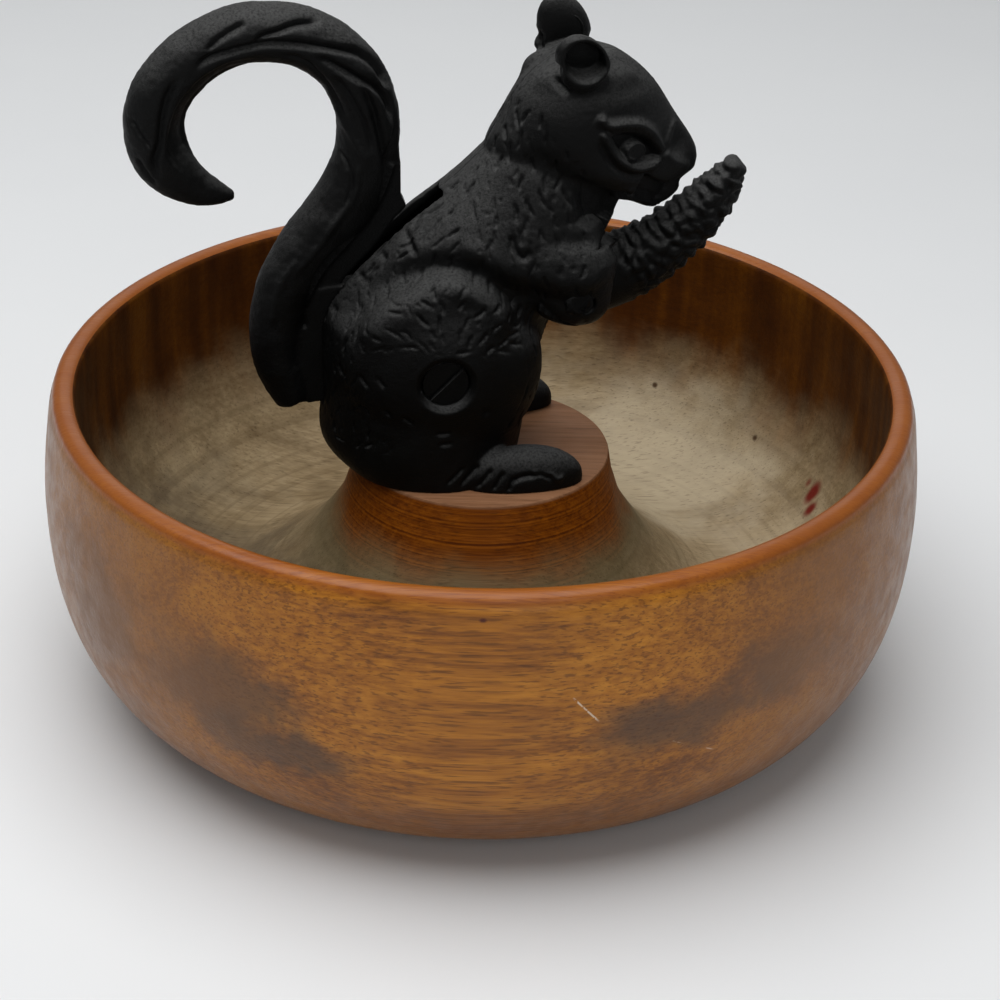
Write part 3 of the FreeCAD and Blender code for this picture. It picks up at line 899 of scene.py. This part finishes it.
def raise_surface(tree, shader, heights):
    """Bump from pairs of a height and how many millimetres it stands for."""
    normal = None
    for height, reach in heights:
        inputs = [("Height", height), ("Distance", reach * MM)]
        if normal is not None:
            inputs.append(("Normal", normal))
        normal = add(tree, "ShaderNodeBump", inputs).outputs[0]
    tree.links.new(normal, shader.inputs["Normal"])


def object_place(tree):
    return add(tree, "ShaderNodeTexCoord").outputs["Object"]


def cylinder_places(tree):
    """Radius and height of a place on the bowl, in metres."""
    x, y, z = add(tree, "ShaderNodeSeparateXYZ", [(0, object_place(tree))]).outputs
    squares = sum_of(tree, product_of(tree, x, x), product_of(tree, y, y))
    return maths(tree, "POWER", squares, 0.5), z


def wood_grain(tree):
    """Streaks, fibres and pores of the grain, which runs across the view through the whole bowl."""
    bands = grainy(tree, place(tree, (0.08, 1, 1), view_turn), 13, 3, 0.55, 0.5)
    fibres = grainy(tree, place(tree, (0.035, 1, 1), view_turn), 1.3, 4, 0.62)
    pores = grainy(tree, place(tree, (0.045, 1, 1), view_turn, (0.3, 0, 0)), 0.55, 2, 0.5)
    return weighted(tree, bands, 0.5, fibres), fibres, pores


def away_from(tree, centre):
    """The way to a place on the piece from a point given in millimetres."""
    return vector_maths(tree, "SUBTRACT", object_place(tree), tuple(part * MM for part in centre)).outputs[0]


def spot(tree, centre, reach, ragged, strength):
    """This strength round a place on the piece, falling to 0 at about the reach in millimetres."""
    stretch = tuple(1 / (part * MM) for part in reach)
    scaled = vector_maths(tree, "MULTIPLY", away_from(tree, centre), stretch).outputs[0]
    distance = vector_maths(tree, "LENGTH", scaled).outputs["Value"]
    unevenness = between(tree, grainy(tree, place(tree), 14, 3), 0.2, 0.8, -ragged, ragged)
    return between(tree, sum_of(tree, distance, unevenness), 1.2, 0.35, 0.0, strength)


def dab(tree, colour, tone, marks, strength=1.0, ragged=0.3):
    """The colour with a tone laid on at each mark: its place and its reach."""
    for centre, reach in marks:
        colour = blend_colours(tree, spot(tree, centre, reach, ragged, strength), colour, tone)
    return colour


def scratch(tree, start, end, half_width):
    """1 along a thin straight line on the piece."""
    run = Vector(end) - Vector(start)
    direction = tuple(run.normalized())
    away = away_from(tree, start)
    along = vector_maths(tree, "DOT_PRODUCT", away, direction).outputs["Value"]
    beside = vector_maths(tree, "CROSS_PRODUCT", away, direction).outputs[0]
    gap = vector_maths(tree, "LENGTH", beside).outputs["Value"]
    near = between(tree, gap, half_width * MM, 0.4 * half_width * MM)
    length = run.length * MM
    begun = between(tree, along, 0.0, 0.15 * length)
    ended = between(tree, along, length, 0.8 * length)
    broken = between(tree, grainy(tree, place(tree), 1.2), 0.42, 0.52)
    return product_of(tree, product_of(tree, near, begun), product_of(tree, ended, broken))


# Marks of wear on the bowl in millimetres: (place, reach), and for a scratch (start, end)
dark_patches = [
    ((-84, -90, 54), (26, 26, 17)), ((-72, -98, 40), (26, 26, 10)),
    ((36, -117, 52), (30, 24, 10)), ((62, -106, 60), (22, 22, 13)),
    ((-110, -50, 56), (20, 24, 24)),
]
outer_scratches = [
    ((2.6, -123.1, 65), (10.2, -122.6, 56.4)), ((30, -118.3, 46.4), (43, -113, 39)),
    ((-96, -73, 71), (-101, -68, 69)),
]
scratch_half_width = 0.35
rim_dots = [((-19.8, -119.3, 87), (1.3, 2, 0.8))]
stains = [
    ((103.6, 16.4, 39.6), (3.2, 2.6, 5.6)), ((101.6, 12, 37), (2.4, 2, 4.2)),
    ((104.2, 21.4, 38.4), (1.8, 1.6, 3)),
]
pits = [((94, 49.6, 40.9), (1.2, 1.2, 1.2)), ((69.6, 82.8, 43.9), (1, 1, 1))]

# Paint of the castings, and the pale colour laid on their upward faces: partly dust, and partly a painted
# highlight of the light from above
black_paint = (0.0018, 0.0019, 0.0019)
dust_and_top_highlight = (0.050, 0.050, 0.049)

# Broad changes of tone in the trough: paler on the right, partly worn pale wood and partly painted light, and
# darker on the left, a painted shadow of the squirrel: (place, reach, strength, colour)
trough_wear_and_painted_light = [
    ((62, 62, 26), (62, 50, 30), 0.6, (0.52, 0.44, 0.31)),
    ((84, -10, 26), (30, 50, 30), 0.4, (0.46, 0.37, 0.25)),
    ((-88, -20, 30), (64, 90, 34), 0.9, (0.108, 0.080, 0.050)),
]


def varnished_outside():
    """Orange-brown varnished wood of the outside and the rim."""
    material, tree, shader = start_material("varnished_wood_outside")
    streaks, fibres, pores = wood_grain(tree)
    _, height = cylinder_places(tree)
    mottle = grainy(tree, place(tree), 34, 2, 0.5)
    across = add(tree, "ShaderNodeSeparateXYZ", [(0, place(tree, turn=view_turn))]).outputs[0]
    colour = colours(tree, streaks, [
        (0.36, (0.150, 0.046, 0.005)), (0.45, (0.270, 0.092, 0.008)), (0.54, (0.390, 0.142, 0.011)),
        (0.66, (0.500, 0.200, 0.018))])
    # The outside grows darker towards the foot, below the belly
    colour = tint(tree, colour, (0.150, 0.060, 0.020), height, 0.036, 0.018, 0.5)
    colour = dab(tree, colour, (0.070, 0.042, 0.026), dark_patches, strength=0.8, ragged=0.35)
    colour = tint(tree, colour, (0.080, 0.026, 0.004), pores, 0.53, 0.66, 0.6)
    colour = tint(tree, colour, (0.150, 0.056, 0.012), mottle, 0.45, 0.75, 0.35)
    end_grain = maths(tree, "ABSOLUTE", across)
    colour = tint(tree, colour, (0.200, 0.078, 0.017), end_grain, 0.040, 0.095, 0.70)
    rim_start, rim_end = (bowl_height - 3.6) * MM, (bowl_height - 1.6) * MM
    colour = tint(tree, colour, (0.27, 0.062, 0.006), height, rim_start, rim_end, 0.6)
    colour = dab(tree, colour, (0.07, 0.012, 0.004), rim_dots)
    for start, end in outer_scratches:
        line = scratch(tree, start, end, scratch_half_width)
        colour = blend_colours(tree, line, colour, (0.62, 0.50, 0.38))
    wear = between(tree, grainy(tree, place(tree), 6), 0.3, 0.7, 0.30, 0.46)
    feed(tree, shader, [
        ("Base Color", colour), ("Roughness", wear), ("Specular IOR Level", 0.24),
        ("Coat Weight", 0.16), ("Coat Roughness", 0.25)])
    raise_surface(tree, shader, [(fibres, 0.10), (pores, 0.06), (grainy(tree, place(tree), 9), 0.22)])
    return material


def worn_inside():
    """Dark upper wall, pale worn trough with painted light on its right and a painted shadow of the squirrel
    on its left, and the pedestal with its orange band.
    """
    material, tree, shader = start_material("worn_wood_inside")
    streaks, fibres, pores = wood_grain(tree)
    radius, height = cylinder_places(tree)
    mottle = grainy(tree, place(tree), 18, 4, 0.55)
    outer = between(tree, radius, 0.080, 0.084)
    inner = maths(tree, "SUBTRACT", 1.0, outer)

    upright = grainy(tree, place(tree, (1, 1, 0.10)), 7, 3, 0.5)
    wall = colours(tree, weighted(tree, streaks, 0.4, upright), [
        (0.34, (0.036, 0.0085, 0.0004)), (0.47, (0.060, 0.0160, 0.0006)), (0.56, (0.088, 0.0255, 0.0009)),
        (0.66, (0.125, 0.0400, 0.0016))])

    floor = colours(tree, streaks, [
        (0.34, (0.190, 0.130, 0.066)), (0.48, (0.260, 0.188, 0.102)), (0.62, (0.350, 0.262, 0.150))])
    floor = tint(tree, floor, (0.42, 0.33, 0.20), mottle, 0.46, 0.72, 0.5)
    floor = tint(tree, floor, (0.120, 0.078, 0.038), mottle, 0.46, 0.26, 0.55)
    floor = tint(tree, floor, (0.15, 0.10, 0.05), layered(tree, radius, 420.0, 4.0), 0.48, 0.7, 0.4)
    # Paler right of the trough, partly worn wood and partly painted light, and a painted shadow of the
    # squirrel on its left
    for centre, reach, strength, tone in trough_wear_and_painted_light:
        floor = dab(tree, floor, tone, [(centre, reach)], strength)

    ragged = sum_of(tree, height, between(tree, mottle, 0.2, 0.8, -0.007, 0.007))
    upper = product_of(tree, between(tree, ragged, 0.038, 0.066), outer)
    colour = blend_colours(tree, upper, floor, wall)
    flare = product_of(tree, between(tree, ragged, 0.028, 0.050, 0.0, 0.7), inner)
    colour = blend_colours(tree, flare, colour, (0.100, 0.076, 0.034))

    rings = layered(tree, height, 1500.0, 3.0)
    band = colours(tree, weighted(tree, fibres, 0.5, rings), [
        (0.36, (0.090, 0.019, 0.0008)), (0.5, (0.180, 0.044, 0.0015)), (0.64, (0.270, 0.075, 0.003))])
    uneven = sum_of(tree, height, between(tree, mottle, 0.2, 0.8, -0.003, 0.003))
    on_band = product_of(tree, between(tree, uneven, 0.045, 0.060), inner)
    colour = blend_colours(tree, on_band, colour, band)

    top = colours(tree, streaks, [
        (0.35, (0.190, 0.084, 0.038)), (0.5, (0.265, 0.126, 0.062)), (0.65, (0.340, 0.172, 0.092))])
    on_top = product_of(tree, between(tree, height, (seat_z - 1.2) * MM, (seat_z - 0.4) * MM), inner)
    colour = blend_colours(tree, on_top, colour, top)
    colour = tint(tree, colour, (0.03, 0.012, 0.004), pores, 0.58, 0.70, 0.35)
    colour = dab(tree, colour, (0.15, 0.016, 0.010), stains)
    colour = dab(tree, colour, (0.07, 0.040, 0.020), pits, ragged=0.2)
    feed(tree, shader, [
        ("Base Color", colour), ("Roughness", between(tree, mottle, 0.3, 0.7, 0.42, 0.62)),
        ("Specular IOR Level", 0.12)])
    raise_surface(tree, shader, [(fibres, 0.10), (pores, 0.08), (mottle, 0.2)])
    return material


def black_iron(name, rough, cast_size):
    """Matt black paint over rough castings, with a pale colour on what looks up: partly dust, and partly a
    painted highlight of the light from above.
    """
    material, tree, shader = start_material(name)
    where = place(tree)
    cast = grainy(tree, where, cast_size, 4, 0.7)
    patches = grainy(tree, where, 9, 3, 0.6)
    worn_through = tuple(2.2 * part + 0.003 for part in black_paint)
    colour = blend_colours(
        tree, between(tree, patches, 0.35, 0.65), tuple(0.5 * part for part in black_paint), black_paint)
    colour = tint(tree, colour, worn_through, cast, 0.58, 0.78, 0.5)
    # Upward faces are paler: partly dust, and partly a painted highlight of the light from above
    facing = add(tree, "ShaderNodeTexCoord").outputs["Normal"]
    upward = add(tree, "ShaderNodeSeparateXYZ", [(0, facing)]).outputs[2]
    dust_and_highlight_share = product_of(tree, between(tree, upward, 0.15, 0.85), between(tree, cast, 0.2, 0.62))
    colour = blend_colours(tree, dust_and_highlight_share, colour, dust_and_top_highlight)
    feed(tree, shader, [
        ("Base Color", colour), ("Roughness", between(tree, patches, 0.3, 0.7, rough - 0.06, rough + 0.12)),
        ("Specular IOR Level", 0.12)])
    raise_surface(tree, shader, [(cast, 0.22), (grainy(tree, where, 0.35, 2, 0.6), 0.07)])
    return material


def plain_steel():
    """Dull zinc plate with fine turning marks."""
    material, tree, shader = start_material("dull_zinc")
    marks = grainy(tree, place(tree, (1, 1, 6)), 0.5, 3)
    stain = grainy(tree, place(tree), 4, 3)
    colour = blend_colours(tree, between(tree, stain, 0.4, 0.7), (0.50, 0.50, 0.48), (0.34, 0.33, 0.31))
    feed(tree, shader, [
        ("Base Color", colour), ("Metallic", 1.0), ("Roughness", between(tree, marks, 0.3, 0.7, 0.35, 0.5))])
    raise_surface(tree, shader, [(marks, 0.02)])
    return material


def paint(piece, *materials):
    piece.data.materials.clear()
    for material in materials:
        piece.data.materials.append(material)


# Stage

def set_camera():
    pitch_cos, pitch_sin = math.cos(camera_pitch), math.sin(camera_pitch)
    yaw_cos, yaw_sin = math.cos(camera_yaw), math.sin(camera_yaw)
    forward = Vector((yaw_sin * pitch_cos, yaw_cos * pitch_cos, -pitch_sin))
    level_right = Vector((yaw_cos, -yaw_sin, 0))
    level_up = level_right.cross(forward)
    right = math.cos(camera_roll) * level_right + math.sin(camera_roll) * level_up
    up = math.cos(camera_roll) * level_up - math.sin(camera_roll) * level_right
    turn = Matrix.Rotation(-view_turn, 3, "Z")
    axes = Matrix((turn @ right, turn @ up, turn @ -forward)).transposed()
    data = bpy.data.cameras.new("camera")
    data.lens = camera_lens
    data.sensor_width = 36
    data.clip_end = 20
    camera = bpy.data.objects.new("camera", data)
    link(camera)
    camera.matrix_world = Matrix.Translation(turn @ Vector(camera_place) * MM) @ axes.to_4x4()
    bpy.context.scene.camera = camera


def pale_floor():
    material, tree, shader = start_material("pale_floor")
    shade = grainy(tree, place(tree), 90, 2)
    colour = blend_colours(tree, shade, (0.78, 0.79, 0.80), (0.81, 0.82, 0.825))
    feed(tree, shader, [("Base Color", colour), ("Roughness", 0.7)])
    deselect()
    bpy.ops.mesh.primitive_plane_add(size=6)
    floor = bpy.context.object
    floor.name = "floor"
    paint(floor, material)


def soft_lamp(name, place, size, power):
    """A round lamp, in metres and watts, aimed at the squirrel's feet."""
    data = bpy.data.lights.new(name, "AREA")
    data.shape = "DISK"
    data.size = size
    data.energy = power
    lamp = bpy.data.objects.new(name, data)
    link(lamp)
    lamp.location = place
    lamp.rotation_euler = (Vector(lamp_aim) - Vector(place)).to_track_quat("-Z", "Y").to_euler()


def light_studio():
    world = bpy.data.worlds.new("studio")
    world.use_nodes = True
    sky = world.node_tree.nodes["Background"]
    sky.inputs["Color"].default_value = (0.80, 0.82, 0.84, 1)
    sky.inputs["Strength"].default_value = 0.23
    bpy.context.scene.world = world
    soft_lamp("overhead", (-0.16, -0.06, 1.0), size=1.2, power=11)
    soft_lamp("behind", (0.3, 2.5, 1.6), size=2.0, power=6)
    soft_lamp("front", (0.0, -1.4, 0.7), size=1.0, power=3.4)


def main():
    set_camera()
    pale_floor()
    light_studio()

    iron = black_iron("matt_black_iron", rough=0.48, cast_size=0.7)
    steel = black_iron("matt_black_steel", rough=0.50, cast_size=0.5)
    zinc = plain_steel()

    bowl = turn_bowl()
    paint(bowl, varnished_outside(), worn_inside())
    limit_heights, limit_radii = np.array(inside_limit).T
    for face in bowl.data.polygons:
        centre = face.center / MM
        radius = math.hypot(centre.x, centre.y)
        face.material_index = int(radius < np.interp(centre.z, limit_heights, limit_radii))
    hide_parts("nut_bowl")
    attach(bowl, "base")

    for node, name, side in (
            ("right_body_half", "squirrel_right_half", -1), ("left_body_half", "squirrel_left_half", 1)):
        half = body_half(node, name, side)
        paint(half, iron)
        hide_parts(node)
        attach(half, "base")

    lever = tail_lever()
    paint(lever, iron)
    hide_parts("tail_lever")
    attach(lever, "lever")

    for name in ("pivot_pin", "body_screw", "body_nut"):
        paint(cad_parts[name], steel)
    for name in ("head_dowel", "mounting_bolt_right", "mounting_bolt_left",
                 "mounting_washer_right", "mounting_washer_left"):
        paint(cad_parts[name], zinc)

    bpy.context.scene.view_settings.view_transform = "Standard"


main()
